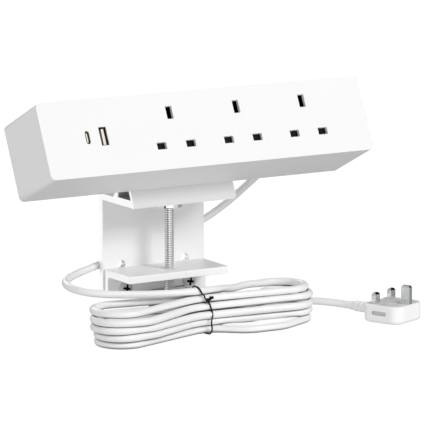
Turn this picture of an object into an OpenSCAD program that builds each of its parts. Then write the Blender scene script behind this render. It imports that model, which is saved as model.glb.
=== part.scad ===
// Clamp-on desk power strip: a tilted socket head on an aluminium desk clamp,
// with a mains lead folded into a hank and ending in a fused three-pin plug.
// Millimetres. +Z up, -Y towards the user, origin on the surface below the clamp.

/* [Head] */
// Length of the head
head_l = 248; // [244:1:300]
// Height of the front face, measured along the face
head_h = 52.6; // [52:0.2:58]
// Depth of the head, square to the face
head_d = 49; // [48:0.5:56]
// How far the face leans back
head_tilt = 25; // [20:1:30]
// Height of the lower front edge
head_edge_z = 118.5; // [116:0.5:124]
// Wall of the shell
wall = 2.5; // [2.2:0.1:2.8]
// Corner radius of the face
corner_r = 3.5; // [3:0.1:5]
// Thickness of the back cover
cover_t = 3; // [2.5:0.1:3.5]

/* [Mains sockets] */
// Number of mains sockets
sockets = 3; // [3:1:3]
// Distance between sockets
socket_pitch = 51.4; // [50:0.1:53]
// Place of the first socket along the head
socket_x = -27; // [-28:0.5:-26]
// Height of the earth aperture above the lower edge of the face
earth_v = 38.4; // [38:0.1:39]
// Spacing of the live and neutral pins, and of the earth pin above them
pin_span = 22.2; // [22.2:0.1:22.3]
// Travel of a safety shutter
shutter_travel = 6.3; // [6:0.1:6.4]

/* [USB sockets] */
// Place of the wide USB socket along the head
usb_a_x = -79.3; // [-81:0.1:-78]
// Place of the small USB socket along the head
usb_c_x = -91.2; // [-93:0.1:-90]
// Height of both above the lower edge of the face
usb_v = 26.4; // [25:0.1:27]

/* [Clamp] */
// Place of the middle of the clamp along the head
clamp_x = -1; // [-2:0.1:1]
// Width of the clamp bracket
bracket_w = 79.6; // [78:0.2:90]
// Depth of the whole object, from the lower front edge to the back of the plate
depth_all = 87.8; // [87:0.1:92]
// Thickness of the back plate
plate_t = 5; // [4.5:0.1:5.5]
// Thickness of the top flange
flange_t = 4.2; // [4:0.1:5]
// Height of the underside of the flange
flange_z = 86.4; // [86:0.1:88]
// Depth of the flange, from the front edge to the back of the plate
flange_d = 47.8; // [46:0.1:48]
// Wall of the slanted head support
duct_wall = 2.5; // [2:0.1:3]
// Height of the lower end of the plate and of the jaw leg
plate_z = 19.5; // [18:0.1:20]
// Width of the lower jaw
jaw_w = 77.4; // [74:0.2:78]
// Thickness of the lower jaw
jaw_t = 5; // [4.5:0.1:5.5]
// Height of the top of the lower jaw
jaw_z = 38.8; // [38:0.1:40]
// Thickness of the jaw leg that is screwed to the plate
leg_t = 4.5; // [4:0.1:5]
// Spacing of the plate holes along the width
hole_span = 50; // [48:0.5:52]
// Height of the lower row of plate holes
hole_z = 25; // [24.5:0.1:25.5]
// Distance between the two rows of plate holes
hole_rise = 15.7; // [15.5:0.1:16.5]

/* [Clamp screw] */
// Diameter of the threaded rod
rod_d = 6.4; // [6.2:0.1:6.6]
// Distance of the rod from the front of the plate
rod_out = 20.8; // [20:0.1:21]
// Diameter of the pressure pad
pad_d = 18.2; // [16:0.1:19]
// Diameter of the knob
knob_d = 32; // [28:1:34]
// Height of the knob
knob_h = 14; // [12:0.5:15]

/* [Cord and plug] */
// Diameter of the mains lead
cord_d = 5.2; // [5.2:0.1:5.2]
// Size of the plug against a standard fused plug
plug_scale = 0.85; // [0.85:0.01:0.86]
// Height of the plug body, from its back to its pin face
plug_h = 12.5; // [12:0.1:13]
// Length of the earth pin outside the plug
earth_pin_l = 13; // [10:0.1:16]
// Length of the line and neutral pins outside the plug
line_pin_l = 7.4; // [6:0.1:12]

/* [Hidden] */
$fn = 48;

head_y = -depth_all / 2;
plate_back = depth_all / 2;
plate_front = plate_back - plate_t;
flange_front = plate_back - flange_d;
flange_top = flange_z + flange_t;
duct_floor = flange_top + 0.8;
tilt_c = cos(head_tilt);
tilt_s = sin(head_tilt);
line_v = earth_v - pin_span;
half_span = pin_span / 2;
cover_y = head_d - cover_t;
socket_xs = [for (i = [0:sockets - 1]) socket_x + i * socket_pitch];

// A point of the clamp's section: s mm up the back of the head and o mm behind it
function back_at(s, o) = [head_y + (head_d + o) * tilt_c + s * tilt_s,
    head_edge_z - (head_d + o) * tilt_s + s * tilt_c];

// Cover screws and bosses, in the head's own frame
boss_x = 117.3;
boss_low = 6.2;
boss_spots = [for (x = [-boss_x, -1.3, boss_x], z = [boss_low, head_h - boss_low]) [x, z]];

// Screws that hold the head on the clamp
mount_spots = [for (x = [-28, 28], z = [8, 22]) [clamp_x + x, z]];

// Cord gland on the back of the head
gland_x = 90;
gland_v = 17;
boot_tip = 70;

// Screw axis
rod_y = plate_front - rod_out;
pad_top = flange_z - 0.8;
pad_bottom = pad_top - 4;

// Plug place: midpoint of the line and neutral pins, and its turn about Z
plug_at = [133.7, -41.5, 0];
plug_turn = 22.5;
plug_axis_z = 6.3;
plug_pin = pin_span * plug_scale;

// Route of the lead from the gland behind the clamp and round to the hank
lead_route = [[90, 26.7, 104.3], [89.6, 32.2, 101.4], [87.6, 37.2, 97.6], [84.4, 40.8, 93.3],
    [80.2, 43.2, 88.9], [75, 45, 84.1], [69, 46.6, 79], [62, 47.5, 73.9], [53, 47.6, 68.8],
    [44, 47.5, 64.4], [30, 47.3, 58.6], [15, 47.2, 54], [0, 47.2, 50], [-20, 47.2, 45],
    [-38, 47.2, 40.7], [-50, 46.4, 38], [-61, 42.6, 36.2], [-70, 36, 35], [-75.9, 27, 34.2],
    [-77.8, 16.4, 33.4], [-75.2, 5.8, 32.5], [-67.6, -2.6, 31.6], [-56, -7.4, 30.6],
    [-36, -12.4, 29.5], [-17, -15.9, 28.9], [1, -17.2, 28.8], [18, -12.5, 27.4]];
// Route from the back of the hank to the plug
tail_route = [[26, -2.5, 2.6], [45, 5.8, 3.2], [60, 11, 4.3], [74, 13.6, 5.6],
    [86, 12.4, 6.8], [96, 8, 7.8], [104, 2.5, 8], [111, -3, 7.6], [117, -8.4, 7],
    [121.4, -14.2, 6.5], [124.4, -20.6, 6.3], [128, -27.6, 6.3], [132.8, -39.3, 6.3]];

// Hank: the round ends, as place and radius, and its pinched middle
hank_ends = [[-64.4, -22.8, 18.8], [-53, -18.6, 24.6], [75.4, -8.4, 18.8],
    [71.7, -12, 18.8], [46, -14, 24.6]];
hank_h = 26;
tie_x = 3;

// ---- helpers ----

module box(lo, hi) {
    translate(lo) cube(hi - lo);
}

// Children are drawn in the head's frame: X along it, Y into it, Z up its face
module in_head() {
    translate([0, head_y, head_edge_z]) rotate([-head_tilt, 0, 0]) children();
}

// Children are drawn in the plug's frame: Z out of its pin face, +Y towards the cord
module in_plug() {
    translate(plug_at) rotate([0, 0, plug_turn]) children();
}

// A flat outline in X and Z, drawn out along Y
module along_y(y0, y1) {
    translate([0, y1, 0]) rotate([90, 0, 0]) linear_extrude(y1 - y0) children();
}

// A flat outline in Y and Z, drawn out along X
module along_x(x0, x1) {
    translate([x0, 0, 0]) rotate([90, 0, 90]) linear_extrude(x1 - x0) children();
}

// A round bar along Y
module rod_y(x, z, y0, y1, r) {
    translate([x, y1, z]) rotate([90, 0, 0]) cylinder(r = r, h = y1 - y0);
}

// A ring along Y
module ring_y(x, z, y0, y1, r_out, r_in) {
    difference() {
        rod_y(x, z, y0, y1, r_out);
        rod_y(x, z, y0 - 1, y1 + 1, r_in);
    }
}

// A rectangle with round corners, centred
module rounded(w, h, r) {
    square([w - 2 * r, h], center = true);
    square([w, h - 2 * r], center = true);
    for (sx = [-1, 1], sy = [-1, 1])
        translate([sx * (w / 2 - r), sy * (h / 2 - r)]) circle(r = r);
}

function unit(v) = v / norm(v);
function curve(p, i, t) =
    let (a = i == 0 ? 2 * p[0] - p[1] : p[i - 1], b = p[i], c = p[i + 1],
        d = i + 2 < len(p) ? p[i + 2] : 2 * p[i + 1] - p[i])
    0.5 * (2 * b + (c - a) * t + (2 * a - 5 * b + 4 * c - d) * t * t
        + (3 * b - a - 3 * c + d) * t * t * t);
function smooth(p, n) = concat([for (i = [0:len(p) - 2], k = [0:n - 1]) curve(p, i, k / n)],
    [p[len(p) - 1]]);
function heading(p, i) = unit(p[min(i + 1, len(p) - 1)] - p[max(i - 1, 0)]);
function side_at(p, i) =
    let (t = heading(p, i),
        s = i == 0 ? (abs(t[2]) < 0.9 ? [0, 0, 1] : [1, 0, 0]) : side_at(p, i - 1))
    unit(s - (s * t) * t);

// A round tube swept along the points p
module tube(p, r, sides = 10) {
    n = len(p);
    rings = [for (i = [0:n - 1])
        let (t = heading(p, i), a = side_at(p, i), b = cross(t, a))
        for (k = [0:sides - 1]) p[i] + r * (cos(360 * k / sides) * a + sin(360 * k / sides) * b)];
    walls = [for (i = [0:n - 2], k = [0:sides - 1])
        [i * sides + k, (i + 1) * sides + k, (i + 1) * sides + (k + 1) % sides,
            i * sides + (k + 1) % sides]];
    polyhedron(points = rings, faces = concat([[for (k = [0:sides - 1]) k]], walls,
        [[for (k = [sides - 1:-1:0]) (n - 1) * sides + k]]));
}

// ---- head ----

module socket_apertures(u) {
    box([u - 2.4, -1, earth_v - 4.4], [u + 2.4, wall + 1, earth_v + 4.4]);
    for (s = [-1, 1])
        box([u + s * half_span - 3.6, -1, line_v - 2.4],
            [u + s * half_span + 3.6, wall + 1, line_v + 2.4]);
}

module front_shell() {
    color([0.97, 0.97, 0.97]) in_head() {
        difference() {
            along_y(0, head_d) translate([0, head_h / 2]) rounded(head_l, head_h, corner_r);
            along_y(wall, head_d + 1) translate([0, head_h / 2])
                rounded(head_l - 2 * wall, head_h - 2 * wall, corner_r - 2);
            for (u = socket_xs) socket_apertures(u);
            box([usb_a_x - 2.85, -1, usb_v - 6.3], [usb_a_x + 2.85, wall + 1, usb_v + 6.3]);
            along_y(-1, wall + 1) translate([usb_c_x, usb_v]) rounded(3.3, 8.9, 1.6);
        }
        for (p = boss_spots) ring_y(p[0], p[1], wall, cover_y, 3, 1.25);
    }
}

module back_cover() {
    color([0.82, 0.83, 0.84]) in_head() difference() {
        union() {
            along_y(cover_y, head_d) translate([0, head_h / 2])
                rounded(head_l - 2 * wall - 0.3, head_h - 2 * wall - 0.3, corner_r - 2.2);
            for (p = mount_spots) rod_y(p[0], p[1], cover_y - 8, cover_y + 1, 4.5);
        }
        for (p = mount_spots) rod_y(p[0], p[1], cover_y - 6, head_d + 1, 2.9);
        for (p = boss_spots) {
            rod_y(p[0], p[1], cover_y - 1, head_d + 1, 1.7);
            rod_y(p[0], p[1], head_d - 1.6, head_d + 1, 3.1);
        }
        rod_y(gland_x, gland_v, cover_y - 1, head_d + 1, 6);
        for (x = [-106:6:-70]) box([x - 1, cover_y - 1, 12], [x + 1, head_d + 1, 40]);
    }
}

module cover_screws() {
    color("silver") in_head() for (p = boss_spots) difference() {
        union() {
            rod_y(p[0], p[1], cover_y - 9, cover_y + 1.4, 1.25);
            rod_y(p[0], p[1], head_d - 1.6, head_d - 0.1, 2.9);
        }
        box([p[0] - 2, head_d - 0.9, p[1] - 0.35], [p[0] + 2, head_d + 1, p[1] + 0.35]);
        box([p[0] - 0.35, head_d - 0.9, p[1] - 2], [p[0] + 0.35, head_d + 1, p[1] + 2]);
    }
}

module socket_body(u) {
    color([0.11, 0.11, 0.12]) in_head() translate([u, 0, 0]) difference() {
        union() {
            box([-21, 5.4, 4], [21, 31, 48.6]);
            for (s = [-1, 1]) translate([s * 19.1, 0, 0])
                box([-1.9, wall, 4], [1.9, 5.5, 48.6]);
            box([-21, wall, 3.2], [21, 5.5, 4.6]);
            box([-21, wall, 47.2], [21, 5.5, 48.6]);
        }
        for (s = [-1, 1])
            box([s * half_span - 4, 5, line_v - 3.1], [s * half_span + 4, 32, line_v + 3.1]);
        box([-3.2, 5, earth_v - 4.8], [3.2, 32, earth_v + 4.8]);
        box([-2.9, 5, 20.8], [2.9, 10.3, 40.8]);
        box([-2.3, 5, 4.6], [2.3, 7.3, 22]);
    }
}

module shutter(u) {
    color([0.13, 0.13, 0.14]) in_head() translate([u, 0, 0]) {
        difference() {
            box([-15.9, 3, 12.5], [15.9, 5, 19.9]);
            box([-2.3, 2, 12], [2.3, 6, 17.3]);
        }
        box([-4, 3, 19.8], [4, 5, 34.2]);
        along_x(-2.4, 2.4) polygon([[3, 27.5], [3, 34.2], [9.3, 40.5], [9.3, 34], [5, 27.5]]);
    }
}

module shutter_spring(u) {
    turns = 6;
    steps = 10;
    low = 4.9;
    high = 17;
    coil = [for (k = [0:turns * steps]) let (a = 360 * k / steps)
        [1.4 * cos(a), 5.1 + 1.4 * sin(a), low + (high - low) * k / (turns * steps)]];
    color("silver") in_head() translate([u, 0, 0]) tube(coil, 0.25, 6);
}

// One contact: two leaves that grip a flat pin, and the tab behind them
module contact_level(u) {
    for (s = [-1, 1]) translate([u, 0, line_v + s * 2.55]) box([-3, 21, -0.35], [3, 31.6, 0.35]);
}

module live_bar() {
    color([0.8, 0.64, 0.3]) in_head() {
        for (u = socket_xs) {
            contact_level(u + half_span);
            box([u + half_span - 3.4, 31.1, line_v - 2.9], [u + half_span + 3.4, 32, 25]);
        }
        box([socket_x + half_span - 3.4, 31.1, 20], [109, 32, 25]);
    }
}

module neutral_bar() {
    color([0.8, 0.64, 0.3]) in_head() {
        for (u = socket_xs) {
            contact_level(u - half_span);
            box([u - half_span - 3.4, 31.1, 9.5], [u - half_span + 3.4, 32, line_v + 2.9]);
        }
        box([socket_x - half_span - 3.4, 31.1, 9.5], [109, 32, 13]);
    }
}

module earth_bar() {
    color([0.8, 0.64, 0.3]) in_head() {
        for (u = socket_xs) {
            for (s = [-1, 1]) translate([u + s * 2.55, 0, earth_v])
                box([-0.35, 21, -4], [0.35, 31.6, 4]);
            box([u - 2.9, 31.1, earth_v - 4], [u + 2.9, 32, 43]);
        }
        box([socket_x - 2.9, 31.1, 38.5], [109, 32, 43]);
    }
}

module usb_board() {
    color([0.1, 0.35, 0.2]) in_head() box([-113.5, 19, 5], [-62, 20.6, 47]);
}

module usb_a_shell() {
    color("silver") in_head() translate([usb_a_x, 0, usb_v]) difference() {
        box([-2.75, 1, -6.2], [2.75, 19, 6.2]);
        box([-2.4, 0, -5.85], [2.4, 18, 5.85]);
    }
}

module usb_a_tongue() {
    color([0.95, 0.93, 0.86]) in_head() translate([usb_a_x, 0, usb_v]) {
        box([-0.1, 2.2, -5.4], [1.8, 14, 5.4]);
        box([-2.4, 13.5, -5.85], [2.4, 18, 5.85]);
    }
}

module usb_c_shell() {
    color([0.72, 0.66, 0.52]) in_head() difference() {
        along_y(0.8, 19) translate([usb_c_x, usb_v]) rounded(3.1, 8.7, 1.5);
        along_y(0, 18) translate([usb_c_x, usb_v]) rounded(2.6, 8.2, 1.25);
    }
}

module usb_c_tongue() {
    color([0.12, 0.12, 0.12]) in_head() translate([usb_c_x, 0, usb_v]) {
        box([-0.4, 1.1, -3.2], [0.4, 14, 3.2]);
        along_y(13.5, 18) rounded(2.6, 8.2, 1.25);
    }
}

module usb_transformer() {
    color([0.85, 0.75, 0.3]) in_head() {
        box([-111, 20.6, 9], [-95, 24, 29]);
        box([-109, 24, 9], [-97, 34, 29]);
        box([-111, 34, 9], [-95, 37, 29]);
    }
}

module usb_capacitors() {
    color([0.2, 0.22, 0.3]) in_head() {
        rod_y(-85, 13, 20.6, 38, 5);
        rod_y(-73, 12, 20.6, 34, 4);
        rod_y(-68, 38, 20.6, 32, 3.5);
    }
}

module usb_chips() {
    color([0.15, 0.15, 0.16]) in_head() {
        box([-109, 20.6, 33], [-99, 22.4, 41]);
        box([-93, 20.6, 31], [-84, 22.2, 38]);
        ring_y(-77, 31, 20.6, 25, 5.5, 2);
    }
}

bar_spots = [11.2, 22.5, 40.8];

module terminal_block() {
    color([0.9, 0.9, 0.88]) in_head() difference() {
        box([103.2, 26, 4], [113.8, 40, 48.4]);
        for (z = bar_spots) {
            box([103, 31, z - 2.7], [109.2, 32.1, z + 2.7]);
            rod_y(107, z, 32, 41, 1.5);
            translate([103, 36, z]) rotate([0, 90, 0]) cylinder(r = 1.4, h = 3);
        }
    }
}

module terminal_screws() {
    color("silver") in_head() for (z = bar_spots) difference() {
        union() {
            rod_y(107, z, 32.1, 40, 1.5);
            rod_y(107, z, 40, 42, 2.6);
        }
        box([104, 41.2, z - 0.4], [110, 43, z + 0.4]);
    }
}

module inner_cable() {
    color([0.9, 0.9, 0.9]) in_head() rod_y(gland_x, gland_v, 38, boot_tip, cord_d / 2);
}

module core_wires() {
    offsets = [[0.2, -1.25], [1.1, 0.6], [-1.1, 0.6]];
    color([0.5, 0.35, 0.2]) in_head() for (i = [0:2])
        tube(smooth([[gland_x + offsets[i][0], 38, gland_v + offsets[i][1]],
            [gland_x + offsets[i][0], 36.8, gland_v + offsets[i][1]],
            [gland_x + 6, 35.6, (2 * gland_v + bar_spots[i]) / 3],
            [99, 35.8, (gland_v + 6 * bar_spots[i]) / 7], [102.5, 36, bar_spots[i]],
            [105, 36, bar_spots[i]]], 3), 0.8, 8);
}

module cord_gland() {
    color([0.88, 0.88, 0.88]) in_head() difference() {
        union() {
            rod_y(gland_x, gland_v, 39.5, head_d, 6);
            rod_y(gland_x, gland_v, head_d, head_d + 3, 8.5);
            translate([gland_x, boot_tip, gland_v]) rotate([90, 0, 0])
                cylinder(r1 = 3.7, r2 = 5.6, h = boot_tip - head_d - 3);
            for (y = [55:3.4:67]) rod_y(gland_x, gland_v, y, y + 1.6, 6.9 - (y - 49) * 0.12);
        }
        rod_y(gland_x, gland_v, 39, boot_tip + 1, cord_d / 2);
    }
}

module gland_nut() {
    color([0.85, 0.85, 0.85]) in_head() difference() {
        translate([gland_x, cover_y, gland_v]) rotate([90, 0, 0])
            cylinder(r = 9, h = 4.5, $fn = 6);
        rod_y(gland_x, gland_v, 40, 47, 6);
    }
}

module mount_inserts() {
    color([0.8, 0.64, 0.3]) in_head() for (p = mount_spots)
        ring_y(p[0], p[1], cover_y - 5.5, head_d, 2.9, 2);
}

module mount_screws() {
    color("silver") in_head() for (p = mount_spots) difference() {
        union() {
            rod_y(p[0], p[1], cover_y - 4, head_d + duct_wall + 0.1, 2);
            rod_y(p[0], p[1], head_d + duct_wall, head_d + duct_wall + 2.6, 3.7);
        }
        translate([p[0], head_d + duct_wall + 3, p[1]]) rotate([90, 0, 0])
            cylinder(r = 1.45, h = 1.9, $fn = 6);
    }
}

// ---- clamp ----

rib_back = 20.6;
rib_front = 17.6;
rib_foot = 24.5;
support_top = 40;

// Where the slanted wall meets a given depth or height
function rise_at_y(y, o) = (y - head_y - (head_d + o) * tilt_c) / tilt_s;
function rise_at_z(z, o) = (z - head_edge_z + (head_d + o) * tilt_s) / tilt_c;

module clamp_bracket() {
    top = back_at(support_top, 0);
    color([0.93, 0.93, 0.94]) difference() {
        along_x(clamp_x - bracket_w / 2, clamp_x + bracket_w / 2) difference() {
            polygon([[plate_back, plate_z], [plate_back, flange_top], [rib_foot, flange_top],
                [rib_back, flange_top + rib_foot - rib_back], [rib_back, top[1]], top,
                back_at(rise_at_y(flange_front, 0), 0), [flange_front, flange_z],
                [plate_front, flange_z], [plate_front, plate_z]]);
            polygon([back_at(rise_at_z(duct_floor, duct_wall), duct_wall),
                [rib_front, duct_floor],
                back_at(rise_at_y(rib_front, duct_wall), duct_wall)]);
        }
        for (x = [-1, 1], z = [hole_z, hole_z + hole_rise])
            rod_y(clamp_x + x * hole_span / 2, z, plate_front - 1, plate_back + 1, 2.75);
        in_head() for (p = mount_spots) {
            rod_y(p[0], p[1], head_d - 1, head_d + duct_wall + 1, 2.2);
            rod_y(p[0], p[1], head_d + duct_wall + 2, head_d + 30, 5);
        }
    }
}

module lower_jaw() {
    front = plate_front - 34.6;
    leg_front = plate_front - leg_t;
    bottom = jaw_z - jaw_t;
    color([0.95, 0.95, 0.96]) difference() {
        along_x(clamp_x - jaw_w / 2, clamp_x + jaw_w / 2) difference() {
            polygon([[plate_front, jaw_z], [front, jaw_z], [front, bottom],
                [leg_front - 2.5, bottom], [leg_front, bottom - 2.5], [leg_front, plate_z],
                [plate_front, plate_z]]);
            translate([leg_front - 2.5, bottom - 2.5]) circle(r = 2.5);
        }
        translate([clamp_x, rod_y, bottom - 1]) cylinder(r = 5, h = jaw_t - 0.2);
        translate([clamp_x, rod_y, bottom - 1]) cylinder(r = rod_d / 2 + 0.3, h = jaw_t + 2);
        for (s = [-1, 1])
            rod_y(clamp_x + s * hole_span / 2, hole_z, leg_front - 1, plate_front + 1, 3);
    }
}

module jaw_screws() {
    leg_front = plate_front - leg_t;
    color("silver") for (s = [-1, 1])
        translate([clamp_x + s * hole_span / 2, leg_front, hole_z]) difference() {
            rotate([90, 0, 0]) union() {
                rotate_extrude() polygon([[0, 0], [4.95, 0], [4.95, 0.9], [4.6, 1.6],
                    [3.5, 2.2], [1.8, 2.5], [0, 2.55]]);
                translate([0, 0, -plate_t - leg_t]) cylinder(r = 2.75, h = plate_t + leg_t + 0.1);
            }
            for (a = [10, 100]) rotate([0, a, 0]) box([-2.8, -4, -0.8], [2.8, -1, 0.8]);
        }
}

module jaw_bush() {
    color([0.75, 0.75, 0.77]) translate([clamp_x, rod_y, jaw_z - jaw_t]) difference() {
        cylinder(r = 5, h = jaw_t - 1.2);
        translate([0, 0, -1]) cylinder(r = rod_d / 2 + 0.05, h = jaw_t + 2);
    }
}

module clamp_rod() {
    color("silver") translate([clamp_x, rod_y, 0]) {
        translate([0, 0, 4]) cylinder(r = rod_d / 2, h = pad_bottom - 0.3 - 4);
        translate([0, 0, pad_bottom - 0.4]) cylinder(r = 2.05, h = 1.8);
        translate([0, 0, pad_bottom + 1.3]) cylinder(r = 2.9, h = 1.4);
    }
}

module pressure_pad() {
    color("silver") translate([clamp_x, rod_y, pad_bottom]) difference() {
        cylinder(r = pad_d / 2, h = 3);
        translate([0, 0, -1]) cylinder(r = 2.1, h = 3);
        translate([0, 0, 1]) cylinder(r = 3.2, h = 3);
    }
}

module pad_face() {
    color([0.15, 0.15, 0.15]) translate([clamp_x, rod_y, pad_bottom + 3]) cylinder(r = pad_d / 2, h = 1);
}

module knob() {
    color([0.1, 0.1, 0.1]) translate([clamp_x, rod_y, 0]) difference() {
        rotate_extrude() polygon([[0, 0], [knob_d / 2 - 1, 0], [knob_d / 2, 1],
            [knob_d / 2, knob_h - 3], [knob_d / 2 - 2, knob_h - 1.5], [7, knob_h], [0, knob_h]]);
        for (a = [0:45:315]) rotate([0, 0, a]) translate([knob_d / 2 + 3.2, 0, -1])
            cylinder(r = 5, h = knob_h + 2);
        translate([0, 0, 1.5]) cylinder(r = rod_d / 2, h = knob_h);
        translate([0, 0, -1]) cylinder(r = 5.6, h = 7, $fn = 6);
    }
}

module knob_nut() {
    color("silver") translate([clamp_x, rod_y, 0.8]) difference() {
        cylinder(r = 5.6, h = 5.2, $fn = 6);
        translate([0, 0, -1]) cylinder(r = rod_d / 2, h = 8);
    }
}

// ---- lead and plug ----

module lead_cord() {
    color([0.9, 0.9, 0.9]) tube(smooth(lead_route, 2), cord_d / 2);
}

module cord_hank() {
    color([0.9, 0.9, 0.9]) linear_extrude(hank_h) {
        for (e = hank_ends) translate([e[0], e[1]]) circle(r = e[2]);
        polygon([[-66, -41.4], [-53, -43.2], [-22, -30.5], [-4, -24.3], [8, -24.3],
            [34, -35.6], [46, -38.6], [74, -30.6], [88, -20], [88, 4], [75.4, 10.4],
            [58, 9], [24, -1.6], [8, -10], [-4, -10], [-22, -6.6], [-53, 1], [-64, -4]]);
    }
}

module tail_cord() {
    color([0.9, 0.9, 0.9]) tube(smooth(tail_route, 2), cord_d / 2);
}

module twist_tie() {
    color([0.06, 0.06, 0.06]) difference() {
        box([tie_x - 0.8, -25.2, 0], [tie_x + 0.8, -9.1, 32.4]);
        box([tie_x - 2, -24.4, 0.8], [tie_x + 2, -9.9, 31.6]);
    }
}

module plug_boot() {
    color([0.88, 0.88, 0.88]) in_plug() difference() {
        union() {
            translate([0, 26.6, plug_axis_z]) rotate([90, 0, 0])
                cylinder(r1 = 3, r2 = 3.6, h = 20);
            for (y = [8.4, 12.4, 16.4, 20.4]) rod_y(0, plug_axis_z, y, y + 2.2, 4.3 - y * 0.03);
            rod_y(0, plug_axis_z, 4.6, 6.7, 3.6);
        }
        rod_y(0, plug_axis_z, 0, 30, cord_d / 2);
    }
}

// Plan of the plug, drawn in by a margin
module plug_plan(inset) {
    hull() for (s = [-1, 1]) {
        translate([s * 8.3, -15.2]) circle(r = 8 - inset, $fn = 32);
        translate([s * 11.3, 1.6]) circle(r = 5 - inset, $fn = 32);
    }
}

module fuse_pocket() {
    box([-11.8, -13.3, 4], [11.8, -5.3, plug_h + 1]);
}

module plug_body() {
    color([0.94, 0.94, 0.94]) in_plug() difference() {
        hull() {
            translate([0, 0, 2.2]) linear_extrude(plug_h - 3) plug_plan(0);
            translate([0, 0, 0.7]) linear_extrude(plug_h - 0.7) plug_plan(0.7);
            linear_extrude(1) plug_plan(2.2);
        }
        translate([0, 0, plug_h - 1.5]) linear_extrude(3) plug_plan(2.2);
        fuse_pocket();
        for (s = [-1, 1]) along_x(s * 16.3 - 1, s * 16.3 + 1)
            translate([-7.2, 7]) rounded(11.6, 2.8, 1.35);
        for (x = [-1, 1]) box([x * plug_pin / 2 - 2.7, -1.7, plug_h - 4],
            [x * plug_pin / 2 + 2.7, 1.7, plug_h]);
        box([-1.7, -plug_pin - 3.4, plug_h - 4], [1.7, -plug_pin + 3.4, plug_h]);
        rod_y(0, plug_axis_z, 4.6, 10, 3.6);
        rod_y(0, plug_axis_z, 1, 10, cord_d / 2);
    }
}

module plug_face() {
    color([0.9, 0.9, 0.9]) in_plug() difference() {
        translate([0, 0, plug_h - 1.5]) linear_extrude(1.4) plug_plan(2.2);
        fuse_pocket();
        for (x = [-1, 1]) box([x * plug_pin / 2 - 2.7, -1.7, plug_h - 4],
            [x * plug_pin / 2 + 2.7, 1.7, plug_h]);
        box([-1.7, -plug_pin - 3.4, plug_h - 4], [1.7, -plug_pin + 3.4, plug_h]);
    }
}

// A flat pin with a bevelled tip, standing on the pin face
module pin(w, d, top) {
    low = plug_h - 4;
    intersection() {
        along_x(-w / 2, w / 2) polygon([[-d / 2, low], [d / 2, low], [d / 2, top - 1.3],
            [d / 2 - 0.8, top], [0.8 - d / 2, top], [-d / 2, top - 1.3]]);
        along_y(-d / 2, d / 2) polygon([[-w / 2, low], [w / 2, low], [w / 2, top - 1.3],
            [w / 2 - 0.9, top], [0.9 - w / 2, top], [-w / 2, top - 1.3]]);
    }
}

module earth_pin() {
    color("silver") in_plug() translate([0, -plug_pin, 0])
        pin(4 * plug_scale, 8 * plug_scale, plug_h + earth_pin_l);
}

module line_pin() {
    color("silver") in_plug() translate([plug_pin / 2, 0, 0])
        pin(6.35 * plug_scale, 4 * plug_scale, plug_h + line_pin_l);
}

module neutral_pin() {
    color("silver") in_plug() translate([-plug_pin / 2, 0, 0])
        pin(6.35 * plug_scale, 4 * plug_scale, plug_h + line_pin_l);
}

module fuse_carrier() {
    color([0.75, 0.1, 0.08]) in_plug() difference() {
        box([-11.5, -13, 4.3], [11.5, -5.6, plug_h]);
        box([-10.9, -12.1, 4], [10.9, -6.5, 10.2]);
        box([-2.2, -13.5, plug_h - 0.8], [2.2, -12, plug_h + 1]);
    }
}

module fuse() {
    color([0.85, 0.83, 0.78]) in_plug() translate([-10.8, -9.3, 7.3]) rotate([0, 90, 0])
        cylinder(r = 2.7, h = 21.6);
}

front_shell();
back_cover();
cover_screws();
socket_body(socket_xs[0]);  // socket_body_1
socket_body(socket_xs[1]);  // socket_body_2
socket_body(socket_xs[2]);  // socket_body_3
shutter(socket_xs[0]);  // shutter_1
shutter(socket_xs[1]);  // shutter_2
shutter(socket_xs[2]);  // shutter_3
shutter_spring(socket_xs[0]);  // shutter_spring_1
shutter_spring(socket_xs[1]);  // shutter_spring_2
shutter_spring(socket_xs[2]);  // shutter_spring_3
live_bar();
neutral_bar();
earth_bar();
usb_board();
usb_a_shell();
usb_a_tongue();
usb_c_shell();
usb_c_tongue();
usb_transformer();
usb_capacitors();
usb_chips();
terminal_block();
terminal_screws();
inner_cable();
core_wires();
cord_gland();
gland_nut();
mount_inserts();
mount_screws();
clamp_bracket();
lower_jaw();
jaw_screws();
jaw_bush();
clamp_rod();
pressure_pad();
pad_face();
knob();
knob_nut();
lead_cord();
cord_hank();
tail_cord();
twist_tie();
plug_boot();
plug_body();
plug_face();
earth_pin();
line_pin();
neutral_pin();
fuse_carrier();
fuse();
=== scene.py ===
# Desk power strip on a desk clamp: materials, lead, tie, thread, springs and light round the
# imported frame.
import math

import bmesh
import bpy
from mathutils import Matrix, Vector


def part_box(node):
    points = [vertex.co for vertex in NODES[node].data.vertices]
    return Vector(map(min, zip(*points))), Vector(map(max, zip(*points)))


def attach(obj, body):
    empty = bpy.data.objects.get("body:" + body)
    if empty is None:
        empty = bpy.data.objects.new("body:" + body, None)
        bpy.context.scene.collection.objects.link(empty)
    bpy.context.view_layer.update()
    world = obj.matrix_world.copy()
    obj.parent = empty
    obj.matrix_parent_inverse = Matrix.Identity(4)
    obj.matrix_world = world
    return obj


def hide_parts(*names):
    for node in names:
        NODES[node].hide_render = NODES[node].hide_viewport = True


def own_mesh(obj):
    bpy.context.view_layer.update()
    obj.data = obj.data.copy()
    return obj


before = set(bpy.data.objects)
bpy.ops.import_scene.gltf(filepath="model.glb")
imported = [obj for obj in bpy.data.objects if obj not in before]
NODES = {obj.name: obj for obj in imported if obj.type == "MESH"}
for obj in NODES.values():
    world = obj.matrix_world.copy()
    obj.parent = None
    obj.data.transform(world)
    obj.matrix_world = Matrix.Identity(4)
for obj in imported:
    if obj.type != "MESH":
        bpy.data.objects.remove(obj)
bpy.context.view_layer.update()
scene = bpy.context.scene

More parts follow.
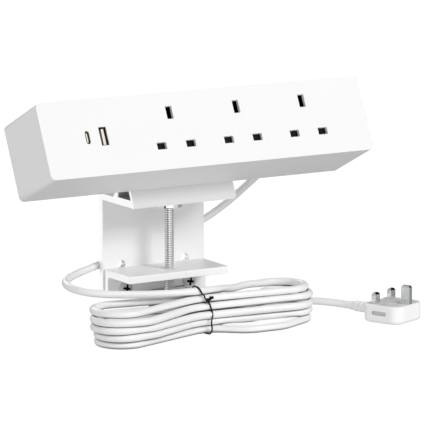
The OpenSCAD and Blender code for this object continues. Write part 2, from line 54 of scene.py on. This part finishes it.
# ---------------------------------------------------------------- camera
AZ, EL, ROLL = math.radians(-30.88), math.radians(9.94), math.radians(-0.13)
TARGET = Vector((-0.0038, -0.0439, 0.0867))
DISTANCE = 2.423
back = Vector((math.sin(AZ) * math.cos(EL), -math.cos(AZ) * math.cos(EL), math.sin(EL)))
cam_data = bpy.data.cameras.new("camera")
cam_data.lens = 310.6
cam_data.sensor_width = 36.0
cam_data.clip_end = 60.0
cam = bpy.data.objects.new("camera", cam_data)
scene.collection.objects.link(cam)
cam.matrix_world = (Matrix.Translation(TARGET + back * DISTANCE)
                    @ back.to_track_quat("Z", "Y").to_matrix().to_4x4()
                    @ Matrix.Rotation(ROLL, 4, "Z"))
scene.camera = cam


# ---------------------------------------------------------------- helpers
def mm(points):
    return [Vector(p) / 1000.0 for p in points]


def smooth(points, n):
    """Points on a smooth curve through the given ones, n for each stretch."""
    p = [2 * points[0] - points[1]] + list(points) + [2 * points[-1] - points[-2]]
    out = []
    for i in range(1, len(p) - 2):
        a, b, c, d = p[i - 1], p[i], p[i + 1], p[i + 2]
        for k in range(n):
            t = k / n
            out.append(0.5 * (2 * b + (c - a) * t + (2 * a - 5 * b + 4 * c - d) * t * t
                              + (3 * b - a - 3 * c + d) * t ** 3))
    out.append(p[-2].copy())
    return out


def curve_piece(name, points, radius, sides):
    data = bpy.data.curves.new(name, "CURVE")
    data.dimensions = "3D"
    data.bevel_depth = radius
    data.bevel_resolution = sides
    data.use_fill_caps = True
    spline = data.splines.new("POLY")
    spline.points.add(len(points) - 1)
    for target, p in zip(spline.points, points):
        target.co = (p[0], p[1], p[2], 1.0)
    spline.use_smooth = True
    obj = bpy.data.objects.new(name, data)
    scene.collection.objects.link(obj)
    return obj


def mesh_piece(name, bm, shade_smooth=True):
    data = bpy.data.meshes.new(name)
    bm.normal_update()
    bm.to_mesh(data)
    bm.free()
    for f in data.polygons:
        f.use_smooth = shade_smooth
    obj = bpy.data.objects.new(name, data)
    scene.collection.objects.link(obj)
    return obj


# ---------------------------------------------------------------- materials
def material(name, colour, rough, metal=0.0, grain=0.0, grain_size=0.0006, vary=0.03,
             patch=0.03, rough_vary=0.08, coat=0.0, brushed=None, ior=1.46, painted_crevice_shade=None):
    """A material with its own fine grain, slow colour drift and uneven gloss, and, where asked,
    painted shade that darkens its colour in crevices.
    """
    m = bpy.data.materials.new(name)
    m.use_nodes = True
    nt = m.node_tree
    bsdf = nt.nodes["Principled BSDF"]
    bsdf.inputs["Metallic"].default_value = metal
    bsdf.inputs["IOR"].default_value = ior
    bsdf.inputs["Coat Weight"].default_value = coat
    coord = nt.nodes.new("ShaderNodeTexCoord")

    def noise(size, detail, stretch=None):
        n = nt.nodes.new("ShaderNodeTexNoise")
        n.inputs["Scale"].default_value = 1.0 / size
        n.inputs["Detail"].default_value = detail
        source = coord.outputs["Object"]
        if stretch:
            mp = nt.nodes.new("ShaderNodeMapping")
            mp.inputs["Scale"].default_value = stretch
            nt.links.new(source, mp.inputs["Vector"])
            source = mp.outputs["Vector"]
        nt.links.new(source, n.inputs["Vector"])
        return n

    drift = noise(patch, 3.0)
    ramp = nt.nodes.new("ShaderNodeValToRGB")
    low = [c * (1.0 - vary) for c in colour[:3]]
    high = [min(1.0, c * (1.0 + vary)) for c in colour[:3]]
    ramp.color_ramp.elements[0].position = 0.3
    ramp.color_ramp.elements[1].position = 0.7
    ramp.color_ramp.elements[0].color = (*low, 1.0)
    ramp.color_ramp.elements[1].color = (*high, 1.0)
    nt.links.new(drift.outputs["Fac"], ramp.inputs["Fac"])
    # Painted shade: the colour is darkened where ambient occlusion finds the surface closed in, as
    # in creases and between touching turns.
    if painted_crevice_shade:
        near = nt.nodes.new("ShaderNodeAmbientOcclusion")
        near.inputs["Distance"].default_value = painted_crevice_shade[0]
        shade = nt.nodes.new("ShaderNodeMapRange")
        shade.inputs["From Min"].default_value = 0.1
        shade.inputs["From Max"].default_value = painted_crevice_shade[1]
        shade.inputs["To Min"].default_value = painted_crevice_shade[2]
        nt.links.new(near.outputs["AO"], shade.inputs["Value"])
        dim = nt.nodes.new("ShaderNodeVectorMath")
        dim.operation = "SCALE"
        nt.links.new(ramp.outputs["Color"], dim.inputs[0])
        nt.links.new(shade.outputs["Result"], dim.inputs["Scale"])
        nt.links.new(dim.outputs["Vector"], bsdf.inputs["Base Color"])
    else:
        nt.links.new(ramp.outputs["Color"], bsdf.inputs["Base Color"])
    fine = noise(grain_size, 2.0, brushed)
    rr = nt.nodes.new("ShaderNodeMapRange")
    rr.inputs["To Min"].default_value = max(0.02, rough - rough_vary)
    rr.inputs["To Max"].default_value = min(1.0, rough + rough_vary)
    nt.links.new(fine.outputs["Fac"], rr.inputs["Value"])
    nt.links.new(rr.outputs["Result"], bsdf.inputs["Roughness"])
    if grain:
        bump = nt.nodes.new("ShaderNodeBump")
        bump.inputs["Strength"].default_value = grain
        bump.inputs["Distance"].default_value = 0.0001
        nt.links.new(fine.outputs["Fac"], bump.inputs["Height"])
        nt.links.new(bump.outputs["Normal"], bsdf.inputs["Normal"])
    return m


M = {
    "shell": material("shell_white", (0.835, 0.835, 0.835), 0.48, grain=0.12, vary=0.006),
    "cover": material("cover_grey", (0.72, 0.73, 0.74), 0.5, grain=0.2, vary=0.02),
    "coat": material("powder_coat", (0.89, 0.89, 0.895), 0.42, grain=0.18, grain_size=0.0005,
                     vary=0.008),
    # Painted light: the lower jaw wears a lighter copy of the bracket's powder coat.
    "jaw_painted_light": material("jaw_coat", (0.97, 0.97, 0.97), 0.42, grain=0.18, vary=0.008),
    "black": material("socket_black", (0.006, 0.006, 0.0065), 0.6, grain=0.3, vary=0.1,
                      ior=1.15),
    "shutter": material("shutter_black", (0.008, 0.008, 0.0085), 0.6, grain=0.3, vary=0.1,
                        ior=1.15),
    "steel": material("zinc_steel", (0.55, 0.56, 0.58), 0.3, metal=1.0, grain=0.1, vary=0.05),
    "spring": material("spring_steel", (0.6, 0.6, 0.62), 0.25, metal=1.0, vary=0.04),
    "brass": material("contact_brass", (0.78, 0.57, 0.25), 0.3, metal=1.0, grain=0.1,
                      brushed=(1, 8, 8)),
    "board": material("circuit_board", (0.02, 0.16, 0.07), 0.35, grain=0.2, vary=0.15,
                      patch=0.004),
    "usb_a": material("usb_shell_black", (0.010, 0.008, 0.006), 0.5, vary=0.1, grain=0.1,
                      ior=1.25),
    # Painted shade: the USB-C shell is given a dark olive colour for its shaded metal.
    "usb_c": material("usb_c_shell_painted_shade", (0.06, 0.055, 0.04), 0.4, metal=0.4, vary=0.06),
    "cream": material("usb_cream", (0.86, 0.80, 0.66), 0.45, vary=0.03, grain=0.1),
    "tape": material("transformer_tape", (0.75, 0.56, 0.08), 0.4, vary=0.05, grain=0.2),
    "can": material("capacitor_sleeve", (0.05, 0.06, 0.10), 0.3, vary=0.1, grain=0.1),
    "chip": material("chip_black", (0.03, 0.03, 0.033), 0.55, vary=0.1, grain=0.3),
    "nylon": material("terminal_nylon", (0.80, 0.78, 0.72), 0.45, vary=0.02, grain=0.1),
    # The lead's jacket carries painted shade, darkened in the creases between its turns.
    "cord": material("lead_jacket", (0.865, 0.865, 0.865), 0.42, grain=0.15, vary=0.02,
                     patch=0.012, grain_size=0.0004, painted_crevice_shade=(0.008, 0.6, 0.15)),
    "core": material("core_sleeve", (0.32, 0.16, 0.07), 0.4, vary=0.1),
    "gland": material("gland_nylon", (0.72, 0.72, 0.72), 0.5, grain=0.15, vary=0.02),
    "bush": material("bush_steel", (0.62, 0.62, 0.64), 0.33, metal=1.0, vary=0.05),
    "thread": material("thread_steel", (0.90, 0.90, 0.91), 0.25, metal=1.0, vary=0.05,
                       grain_size=0.0003),
    # Painted shade: a dark look for the thread's roots, where shade falls between the crests.
    "root": material("thread_root_painted_shade", (0.16, 0.16, 0.162), 0.5, metal=0.8, vary=0.1,
                     grain_size=0.0003),
    # Painted shade: a darker, part-metallic look for the faces inside the bracket's hollow.
    "hollow_painted_shade": material("hollow_coat_painted_shade", (0.42, 0.42, 0.43), 0.5, metal=0.3, vary=0.05,
                       grain=0.1),
    # Painted light: a lighter, more metallic look for the end faces of the bracket and the jaw.
    "ends": material("ends_painted_light", (0.96, 0.96, 0.965), 0.45, metal=0.7, vary=0.006,
                     grain=0.1, brushed=(6, 1, 1)),
    # Painted shade: a darker copy of the coat for the bracket's front faces under the head.
    "front_painted_shade": material("coat_painted_shade", (0.74, 0.74, 0.745), 0.45, grain=0.18, vary=0.008),
    # Painted shade: a darker copy of the jaw's coat for its top faces.
    "jaw_top": material("jaw_coat_painted_shade", (0.84, 0.84, 0.845), 0.45, grain=0.18, vary=0.008),
    "head": material("screw_head", (0.62, 0.62, 0.63), 0.42, metal=0.5, vary=0.04, grain=0.1),
    "chrome": material("pad_chrome", (0.86, 0.86, 0.87), 0.14, metal=1.0, vary=0.03,
                       rough_vary=0.04),
    "rubber": material("pad_rubber", (0.03, 0.03, 0.03), 0.7, vary=0.1, grain=0.4),
    "knob": material("knob_black", (0.025, 0.025, 0.026), 0.4, vary=0.1, grain=0.4),
    "tie": material("tie_black", (0.004, 0.004, 0.004), 0.6, vary=0.1, grain=0.2, ior=1.25),
    "plug": material("plug_white", (0.92, 0.92, 0.925), 0.34, grain=0.1, vary=0.01),
    "face": material("plug_face", (0.70, 0.70, 0.71), 0.4, grain=0.12, vary=0.015),
    "boot": material("boot_soft", (0.88, 0.88, 0.885), 0.45, grain=0.15, vary=0.02),
    "pin": material("pin_nickel", (0.72, 0.73, 0.74), 0.1, metal=1.0, vary=0.05,
                    rough_vary=0.03),
    "slot": material("slot_shade", (0.60, 0.60, 0.61), 0.6, vary=0.02, grain=0.1),
    "ceramic": material("fuse_ceramic", (0.80, 0.77, 0.70), 0.3, vary=0.02, grain=0.1),
}

WEARS = {
    "front_shell": "shell", "back_cover": "cover", "cover_screws": "steel",
    "socket_body_1": "black", "socket_body_2": "black", "socket_body_3": "black",
    "shutter_1": "shutter", "shutter_2": "shutter", "shutter_3": "shutter",
    "shutter_spring_1": "spring", "shutter_spring_2": "spring", "shutter_spring_3": "spring",
    "live_bar": "brass", "neutral_bar": "brass", "earth_bar": "brass",
    "usb_board": "board", "usb_a_shell": "usb_a", "usb_a_tongue": "cream",
    "usb_c_shell": "usb_c", "usb_c_tongue": "cream", "usb_transformer": "tape",
    "usb_capacitors": "can", "usb_chips": "chip", "terminal_block": "nylon",
    "terminal_screws": "steel", "inner_cable": "cord", "core_wires": "core",
    "cord_gland": "gland", "gland_nut": "gland", "mount_inserts": "brass",
    "mount_screws": "steel", "clamp_bracket": "coat", "lower_jaw": "jaw_painted_light",
    "jaw_screws": "head", "jaw_bush": "bush", "clamp_rod": "thread",
    "pressure_pad": "chrome", "pad_face": "rubber", "knob": "knob", "knob_nut": "steel",
    "lead_cord": "cord", "cord_hank": "cord", "tail_cord": "cord", "twist_tie": "tie",
    "plug_boot": "boot", "plug_body": "plug", "plug_face": "face", "earth_pin": "pin",
    "line_pin": "pin", "neutral_pin": "pin", "fuse_carrier": "face", "fuse": "ceramic",
}
for node, look in WEARS.items():
    data = NODES[node].data
    data.materials.clear()
    data.materials.append(M[look])
    for f in data.polygons:
        f.material_index = 0


def paint_light_and_shade(node, look, chosen):
    """Give the faces of a CAD piece that are chosen by centre and normal another look, here to
    paint light and shade on them.
    """
    data = NODES[node].data
    data.materials.append(M[look])
    for f in data.polygons:
        centre = NODES[node].matrix_world @ f.center
        if chosen(centre * 1000.0, f.normal):
            f.material_index = len(data.materials) - 1


# Places in mm: the clamp's middle, its screws, and the hollow under the head
CLAMP_X = -1
SCREW_SPAN, SCREW_Z, CROSS_R = 25, 25, 2.8
SCREW_HEAD_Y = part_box("jaw_screws")[0].y * 1000.0
HOLLOW_X, HOLLOW_FRONT, HOLLOW_BACK, HOLLOW_Z = 38, 5, 17.7, 90.5
SUPPORT_BACK = 8


# Faces inside the bracket's hollow, which take painted shade.
def in_hollow(c, n):
    in_place = (abs(c.x) < HOLLOW_X and HOLLOW_FRONT < c.y < HOLLOW_BACK and c.z > HOLLOW_Z)
    return in_place and abs(n.x) < 0.5 and not (n.y < -0.8 and c.y < SUPPORT_BACK)


# Faces of the cross recesses in the jaw screws' heads, which are painted black as shade.
def in_cross(c, n):
    near = math.hypot(abs(c.x - CLAMP_X) - SCREW_SPAN, c.z - SCREW_Z) < CROSS_R
    depth = c.y - SCREW_HEAD_Y
    return near and depth < 1.7 and (abs(n.y) < 0.3 or depth > 1.4)


# End faces facing ±X, which take painted light.
def end_face(c, n):
    return abs(n.x) > 0.9


# Painted light and shade on the clamp: shade in the bracket's hollow and on its front faces under
# the head, light on the end faces, shade on the jaw's top and in the screws' crosses.
paint_light_and_shade("clamp_bracket", "hollow_painted_shade", in_hollow)
paint_light_and_shade("clamp_bracket", "ends", end_face)
paint_light_and_shade("clamp_bracket", "front_painted_shade", lambda c, n: n.y < -0.9 and c.y < SUPPORT_BACK)
paint_light_and_shade("lower_jaw", "jaw_top", lambda c, n: n.z > 0.9)
paint_light_and_shade("jaw_screws", "black", in_cross)
paint_light_and_shade("lower_jaw", "ends", end_face)


# Where the plug lies, and how far it is turned from the head
PLUG_X, PLUG_Y, PLUG_TURN = 133.7, -41.5, math.radians(22.5)


def in_plug(c):
    """A place in the plug's own frame: X across it, Y towards its lead."""
    dx, dy, a = c.x - PLUG_X, c.y - PLUG_Y, PLUG_TURN
    return Vector((dx * math.cos(a) + dy * math.sin(a), dy * math.cos(a) - dx * math.sin(a),
                   c.z))


def in_slot(c, n):
    """The finger slots in the plug's sides."""
    q, out = in_plug(c), in_plug(Vector((PLUG_X, PLUG_Y, 0)) + n)
    return (15.0 < abs(q.x) < 17.2 and -13.4 < q.y < -1 and 5.2 < q.z < 8.8
            and (abs(q.x) < 15.5 or abs(out.x) < 0.3))


paint_light_and_shade("plug_body", "slot", in_slot)


def round_edges(node, width, segments=2):
    """Small rounded edges on a CAD piece, which catch the light as real ones do."""
    obj = NODES[node]
    weld = obj.modifiers.new("weld", "WELD")
    weld.merge_threshold = 0.000002
    bevel = obj.modifiers.new("bevel", "BEVEL")
    bevel.width = width
    bevel.segments = segments
    bevel.limit_method = "ANGLE"
    bevel.angle_limit = math.radians(35)
    bevel.harden_normals = True


# ---------------------------------------------------------------- mains lead
CORD_R = 0.0026
LEAD = [(90, 26.7, 104.3), (89.6, 32.2, 101.4), (87.6, 37.2, 97.6), (84.4, 40.8, 93.3),
        (80.2, 43.2, 88.9), (75, 45, 84.1), (69, 46.6, 79), (62, 47.5, 73.9), (53, 47.6, 68.8),
        (44, 47.5, 64.4), (30, 47.3, 58.6), (15, 47.2, 54), (0, 47.2, 50), (-20, 47.2, 45),
        (-38, 47.2, 40.7), (-50, 46.4, 38), (-61, 42.6, 36.2), (-70, 36, 35),
        (-75.9, 27, 34.2), (-77.8, 16.4, 33.4), (-75.2, 5.8, 32.5), (-67.6, -2.6, 31.6),
        (-56, -7.4, 30.6), (-36, -12.4, 29.5), (-17, -15.9, 28.9), (1, -17.2, 28.8),
        (18, -12.5, 27.4)]
TAIL = [(26, -2.5, 2.6), (45, 5.8, 3.2), (60, 11, 4.3), (74, 13.6, 5.6), (86, 12.4, 6.8),
        (96, 8, 7.8), (104, 2.5, 8), (111, -3, 7.6), (117, -8.4, 7), (121.4, -14.2, 6.5),
        (124.4, -20.6, 6.3), (128, -27.6, 6.3)]
# Each turn of the hank, from the top one down: its right end, the wheels along its front,
# its left end and its waist at the back, all as place in plan and radius
TURNS = [
    ((72.7, -7, 16.2), [(4, -57.6, -40)], (-61.2, -20.9, 17.9), (0, 17.6, -30)),
    ((75.6, -8.2, 16.2), [(4, -59.6, -40), (-55, -20.5, 22)], (-64.1, -24, 16.6),
     (0, 15.6, -30)),
    ((73.1, -12.5, 16.2), [(4, -61.6, -40), (-51, -17.4, 22)], (-64.5, -24, 16.2),
     (0, 15.6, -30)),
    ((74.1, -10.1, 16.2), [(4, -59.8, -40), (-50, -12, 26)], (-61.8, -23.8, 16.2),
     (0, 15.6, -30)),
    ((71.7, -11.8, 16.2), [(52, -14.8, 22), (38, -14.4, 22), (2, -41.2, -22)],
     (-60.3, -21.8, 16.2), (0, 16.2, -30)),
]


def belt(wheels):
    """Points, in mm, of a cord laid in plan round wheels given as (x, y, z, radius).

    A radius above zero turns the cord clockwise, one below zero the other way, and zero is
    a point it meets. A height of None lies between its neighbours' heights."""
    lines = []
    for (ax, ay, _, ar), (bx, by, _, br) in zip(wheels, wheels[1:]):
        heading = (math.atan2(by - ay, bx - ax)
                   - math.asin((ar - br) / math.hypot(bx - ax, by - ay)))
        lx, ly = -math.sin(heading), math.cos(heading)
        lines.append((heading, (ax + ar * lx, ay + ar * ly), (bx + br * lx, by + br * ly)))
    points = [[*lines[0][1], wheels[0][2]]]
    for i, (heading, a, b) in enumerate(lines):
        n = int(math.dist(a, b) / 6) + 1
        for k in range(1, n):
            points.append([a[0] + (b[0] - a[0]) * k / n, a[1] + (b[1] - a[1]) * k / n, None])
        x, y, z, r = wheels[i + 1]
        if i + 1 == len(lines):
            points.append([x, y, z])
            break
        turn = (lines[i + 1][0] - heading + math.pi) % (2 * math.pi) - math.pi
        if r > 0 and turn > 0.3:
            turn -= 2 * math.pi
        n = int(abs(turn) / math.radians(9)) + 1
        for k in range(n + 1):
            f = heading + turn * k / n
            points.append([x - r * math.sin(f), y + r * math.cos(f), z])
    run = [0.0]
    for a, b in zip(points, points[1:]):
        run.append(run[-1] + math.dist(a[:2], b[:2]))
    known = [i for i, p in enumerate(points) if p[2] is not None]
    for a, b in zip(known, known[1:]):
        for i in range(a + 1, b):
            t = (run[i] - run[a]) / (run[b] - run[a])
            points[i][2] = points[a][2] + (points[b][2] - points[a][2]) * t * t * (3 - 2 * t)
    return points


def hank_wheels():
    wheels = [(*LEAD[-1], 0), (64, -42, 24.4, 48)]
    for i, (right, front, left, waist) in enumerate(TURNS):
        z = 23.4 - 5.2 * i
        if i:
            wheels.append((24, 45.4, None, -58))
        for x, y, r in [right, *front, left, waist]:
            wheels.append((x, y, z - 0.3 if i == 2 and r == -40 else z, r))
    return wheels + [(*TAIL[0], 0)]


route = smooth(mm(LEAD), 8)
for p in mm(belt(hank_wheels())) + smooth(mm(TAIL), 8):
    if (p - route[-1]).length > 0.0004:
        route.append(p)
cord = curve_piece("mains_lead", route, CORD_R, 7)
cord.data.materials.append(M["cord"])
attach(cord, "frame")
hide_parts("lead_cord", "cord_hank", "tail_cord")

# ---------------------------------------------------------------- twist tie
loop = smooth(mm([(1.2, -9.0, 16), (0.6, -9.6, 24), (-1.2, -12, 28.6), (-1.8, -15.2, 31.7),
                  (-0.9, -17.4, 32.1), (0, -19.5, 31.1), (0.8, -20.4, 29.6), (1.7, -20.6, 27.7),
                  (3, -21.4, 26.3), (3.5, -21.9, 24.3), (5, -22.5, 22.7), (6.4, -22.2, 20.8),
                  (7.2, -22.4, 19),
                  (8, -24, 13.6), (7.2, -24.8, 11), (6, -25.9, 8.4), (6.6, -25.6, 5),
                  (6.8, -25, 2.2), (5.6, -25.6, 1.2), (4.3, -25.8, 0.7), (3.6, -20, 0.6),
                  (2.4, -11, 0.7), (1.4, -9.4, 3), (1.2, -9.0, 9)]), 6)
# The two ends are twisted together in front, thicker than one, and stand off to the right
TIE_R, TWISTED = 0.00052, 1.7
ends = smooth(mm([(4.2, -22.2, 23.9), (5.2, -23.2, 22.2), (5.8, -22, 23), (6.6, -23, 23.6),
                  (7.2, -22.4, 24.6), (8, -23.2, 24.3), (8.8, -22.9, 25)]), 4)
tie = curve_piece("twist_tie_wire", loop, TIE_R, 3)
stub = tie.data.splines.new("POLY")
stub.points.add(len(ends) - 1)
for target, p in zip(stub.points, ends):
    target.co = (p[0], p[1], p[2], 1.0)
    target.radius = TWISTED
stub.use_smooth = True
tie.data.materials.append(M["tie"])
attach(tie, "frame")
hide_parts("twist_tie")

# ---------------------------------------------------------------- threaded rod
THREAD_TOP, THREAD_OUT, THREAD_IN, PITCH = 0.0812, 0.00322, 0.0029, 0.00127
CORE_R, NECK_R, COLLAR_R = 0.00265, 0.00205, 0.0029


def threaded_rod(name, x, y, z0, z1, r_out, r_in, pitch, steps=20):
    bm = bmesh.new()
    turns = int((z1 - z0) / pitch)
    profile = [(0.0, r_in), (0.12, r_in), (0.24, r_out), (0.86, r_out), (0.98, r_in)]
    rings = []
    total = turns * steps
    for k in range(total + 1):
        a = 2 * math.pi * k / steps
        base = z0 + pitch * k / steps
        fade = min(1.0, k / steps, (total - k) / steps)
        ring = []
        for f, r in profile:
            rr = r_in + (r - r_in) * max(0.0, fade)
            ring.append(bm.verts.new((x + rr * math.cos(a), y + rr * math.sin(a),
                                      base + f * pitch)))
        rings.append(ring)
    for k in range(total):
        for j in range(len(profile) - 1):
            bm.faces.new((rings[k][j], rings[k + 1][j], rings[k + 1][j + 1], rings[k][j + 1]))
        if k + 1 + steps <= total:
            bm.faces.new((rings[k][-1], rings[k + 1][-1], rings[k + 1 + steps][0],
                          rings[k + steps][0]))
    obj = mesh_piece(name, bm)
    obj.data.materials.append(M["thread"])
    obj.data.materials.append(M["root"])
    # Painted shade: faces near the root of the thread take the dark root look.
    for f in obj.data.polygons:
        edge = sum(math.hypot(obj.data.vertices[v].co.x - x, obj.data.vertices[v].co.y - y)
                   for v in f.vertices) / len(f.vertices)
        f.material_index = 1 if edge < r_in + 0.45 * (r_out - r_in) else 0
        f.use_smooth = False
    return obj


rod_low, rod_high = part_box("clamp_rod")
rod_x, rod_y = (rod_low.x + rod_high.x) / 2, (rod_low.y + rod_high.y) / 2
rod = threaded_rod("thread_helix", rod_x, rod_y, rod_low.z + 0.0005, THREAD_TOP, THREAD_OUT,
                   THREAD_IN, PITCH)
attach(rod, "clamp_screw")


def turned(name, x, y, profile, sides=48):
    """A turned solid about the screw's axis, from (radius, height) pairs."""
    bm = bmesh.new()
    rings = []
    for r, z in profile:
        rings.append([bm.verts.new((x + r * math.cos(2 * math.pi * k / sides),
                                    y + r * math.sin(2 * math.pi * k / sides), z))
                      for k in range(sides)])
    for a, b in zip(rings, rings[1:]):
        for k in range(sides):
            n = (k + 1) % sides
            bm.faces.new((a[k], a[n], b[n], b[k]))
    bm.faces.new(rings[0][::-1])
    bm.faces.new(rings[-1])
    return mesh_piece(name, bm)


core = turned("screw_core", rod_x, rod_y, [
    (0.0026, rod_low.z), (CORE_R, rod_low.z + 0.0004), (CORE_R, THREAD_TOP), (NECK_R, 0.0814),
    (NECK_R, 0.0829), (0.0027, 0.08295), (COLLAR_R, 0.0832), (COLLAR_R, 0.0841), (0.0026, 0.0843)])
core.data.materials.append(M["thread"])
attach(core, "clamp_screw")
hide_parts("clamp_rod")

# ---------------------------------------------------------------- shutter springs
for i in (1, 2, 3):
    node = "shutter_spring_%d" % i
    coil = bpy.data.objects.new("coil_%d" % i, NODES[node].data.copy())
    scene.collection.objects.link(coil)
    coil.matrix_world = NODES[node].matrix_world.copy()
    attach(coil, "shutter_body_%d" % i)
    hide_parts(node)
    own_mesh(coil)

# ---------------------------------------------------------------- edges
round_edges("front_shell", 0.0006, 3)
round_edges("clamp_bracket", 0.0004, 2)
round_edges("lower_jaw", 0.0004, 2)

# ---------------------------------------------------------------- floor and light
bm = bmesh.new()
bmesh.ops.create_grid(bm, x_segments=8, y_segments=8, size=8.0)
floor = mesh_piece("floor", bm, False)
floor.location = (0, 0, -0.0002)
floor_mat = material("floor_pale", (0.25, 0.25, 0.25), 0.9, vary=0.003, patch=0.6,
                     grain_size=0.05)
floor_bsdf = floor_mat.node_tree.nodes["Principled BSDF"]
floor_bsdf.inputs["Specular IOR Level"].default_value = 0.0
floor_bsdf.inputs["Emission Color"].default_value = (1.0, 1.0, 1.0, 1.0)
floor_bsdf.inputs["Emission Strength"].default_value = 0.88
floor.data.materials.append(floor_mat)
floor.visible_diffuse = False
floor.visible_glossy = False

world = bpy.data.worlds.new("studio")
scene.world = world
world.use_nodes = True
wt = world.node_tree
sky = wt.nodes["Background"]
direction = wt.nodes.new("ShaderNodeTexCoord")
split = wt.nodes.new("ShaderNodeSeparateXYZ")
wt.links.new(direction.outputs["Generated"], split.inputs["Vector"])


def along(axis, start, end, low, high):
    """The sky's strength, from low to high between two values of one direction."""
    n = wt.nodes.new("ShaderNodeMapRange")
    n.interpolation_type = "SMOOTHSTEP"
    n.inputs["From Min"].default_value = start
    n.inputs["From Max"].default_value = end
    n.inputs["To Min"].default_value = low
    n.inputs["To Max"].default_value = high
    wt.links.new(split.outputs[axis], n.inputs["Value"])
    return n.outputs["Result"]


def joined(operation, a, b):
    n = wt.nodes.new("ShaderNodeMath")
    n.operation = operation
    wt.links.new(a, n.inputs[0])
    wt.links.new(b, n.inputs[1])
    return n.outputs["Value"]


front_and_height = joined("MULTIPLY", along("Y", -0.9, 0.8, 0.64, 0.12),
                          along("Z", -0.8, 0.6, 1.36, 0.88))
wt.links.new(joined("ADD", front_and_height, along("X", -1.0, -0.3, 0.60, 0.0)),
             sky.inputs["Strength"])
sky.inputs["Color"].default_value = (1.0, 1.0, 1.0, 1.0)


def area(name, at, aim, size, power):
    data = bpy.data.lights.new(name, "AREA")
    data.shape = "RECTANGLE"
    data.size, data.size_y = size
    data.energy = power
    obj = bpy.data.objects.new(name, data)
    scene.collection.objects.link(obj)
    obj.location = at
    obj.rotation_euler = (Vector(aim) - Vector(at)).to_track_quat("-Z", "Y").to_euler()
    return obj


area("key", (1.0, -2.4, 1.62), (0, 0, 0.08), (1.2, 0.9), 45)


def card(name, at, size, strength):
    """A white or black card round the set, seen only in what is glossy."""
    bm = bmesh.new()
    bmesh.ops.create_grid(bm, x_segments=1, y_segments=1, size=0.5)
    obj = mesh_piece(name, bm, False)
    obj.scale = (size[0], size[1], 1.0)
    obj.location = at
    obj.rotation_euler = (Vector((0, 0, 0.06)) - Vector(at)).to_track_quat("Z", "Y").to_euler()
    look = material(name, (0.01, 0.01, 0.01), 0.9, vary=0.02, patch=0.5, grain_size=0.1)
    bsdf = look.node_tree.nodes["Principled BSDF"]
    bsdf.inputs["Specular IOR Level"].default_value = 0.0
    bsdf.inputs["Emission Color"].default_value = (1.0, 1.0, 1.0, 1.0)
    bsdf.inputs["Emission Strength"].default_value = strength
    obj.data.materials.append(look)
    obj.visible_camera = False
    obj.visible_diffuse = False
    obj.visible_shadow = False


area("back", (0.1, 1.6, 0.95), (0, 0.03, 0.09), (0.8, 0.4), 12)
card("card_front", (-0.4, -1.5, 0.4), (1.6, 1.8), 1.2)
card("card_left_edge", (-1.45, -0.65, 0.4), (0.6, 1.8), 0.02)
card("card_left", (-1.5, 0.35, 0.0), (1.2, 2.0), 0.7)
card("card_left_back", (-1.1, 1.3, 0.0), (1.3, 2.0), 1.5)
card("card_right", (1.6, -0.1, -0.35), (2.0, 1.2), 0.36)
card("card_right_high", (1.4, -0.1, 1.0), (2.2, 1.1), 0.0)

scene.view_settings.view_transform = "Standard"
